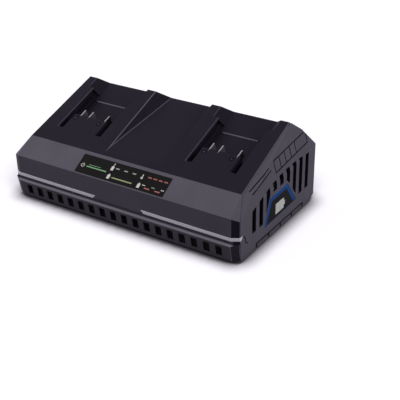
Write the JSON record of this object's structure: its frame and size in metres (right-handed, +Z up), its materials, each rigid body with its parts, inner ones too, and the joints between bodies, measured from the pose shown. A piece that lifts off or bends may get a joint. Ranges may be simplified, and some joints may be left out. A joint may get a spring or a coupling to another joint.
{
  "type": "twin-bay tool battery charger",
  "caption": "Wedge-shaped desktop charger with sloping bays for slide-on tool battery packs, upright side vents, milky light bars and a cooling fan inside.",
  "frame": {"origin": "middle of the footprint, on the surface the feet stand on", "axes": "+X to the right seen from the front, +Y to the back, +Z up"},
  "size_m": [0.2802, 0.163, 0.1007],
  "materials": {
    "deck_plastic": "fine spark texture",
    "case_plastic": "fine spark texture",
    "light_guide": "milky",
    "label_film": "satin print",
    "blue_plastic": "satin",
    "black_plastic": "moulded",
    "contact_metal": "plated",
    "circuit_board": "solder mask",
    "ferrite": "sintered",
    "copper_wire": "enamelled",
    "aluminium": "extruded",
    "sleeve": "shrunk film",
    "rubber": "matt",
    "steel": "zinc plated",
    "led_lens": "clear",
    "lead_jacket": "smooth",
    "fuse_body": "ceramic"
  },
  "bodies": {
    "housing": {"top_cover": "deck_plastic", "front_fascia": "case_plastic", "base_tray": "case_plastic", "left_end_cover": "case_plastic", "right_end_cover": "case_plastic", "left_light_bar": "light_guide", "right_light_bar": "light_guide", "status_label": "label_film", "left_badge": "blue_plastic", "right_badge": "blue_plastic", "left_terminal_block": "black_plastic", "right_terminal_block": "black_plastic", "left_positive_blade": "contact_metal", "left_sense_blade": "contact_metal", "left_negative_blade": "contact_metal", "right_positive_blade": "contact_metal", "right_sense_blade": "contact_metal", "right_negative_blade": "contact_metal", "left_lead": "lead_jacket", "right_lead": "lead_jacket", "main_pcb": "circuit_board", "transformer_core": "ferrite", "transformer_winding": "copper_wire", "bulk_capacitor": "sleeve", "output_capacitor_1": "sleeve", "output_capacitor_2": "sleeve", "line_choke": "copper_wire", "fuse": "fuse_body", "primary_heat_sink": "aluminium", "power_transistor": "black_plastic", "secondary_heat_sink": "aluminium", "rectifier": "black_plastic", "indicator_pcb": "circuit_board", "indicator_led_1": "led_lens", "indicator_led_2": "led_lens", "indicator_led_3": "led_lens", "indicator_led_4": "led_lens", "mains_inlet": "black_plastic", "inlet_pin_left": "contact_metal", "inlet_pin_right": "contact_metal", "fan_frame": "black_plastic", "case_screw_1": "steel", "case_screw_2": "steel", "case_screw_3": "steel", "case_screw_4": "steel", "board_screw_1": "steel", "board_screw_2": "steel", "board_screw_3": "steel", "board_screw_4": "steel", "rubber_foot_1": "rubber", "rubber_foot_2": "rubber", "rubber_foot_3": "rubber", "rubber_foot_4": "rubber"},
    "fan": {"fan_rotor": "black_plastic"}
  },
  "joints": [
    {"name": "fan_spin", "type": "hinge", "parent": "housing", "child": "fan", "pos_m": [0.117, 0, 0.0253], "axis": [1, 0, 0], "continuous": true}
  ]
}
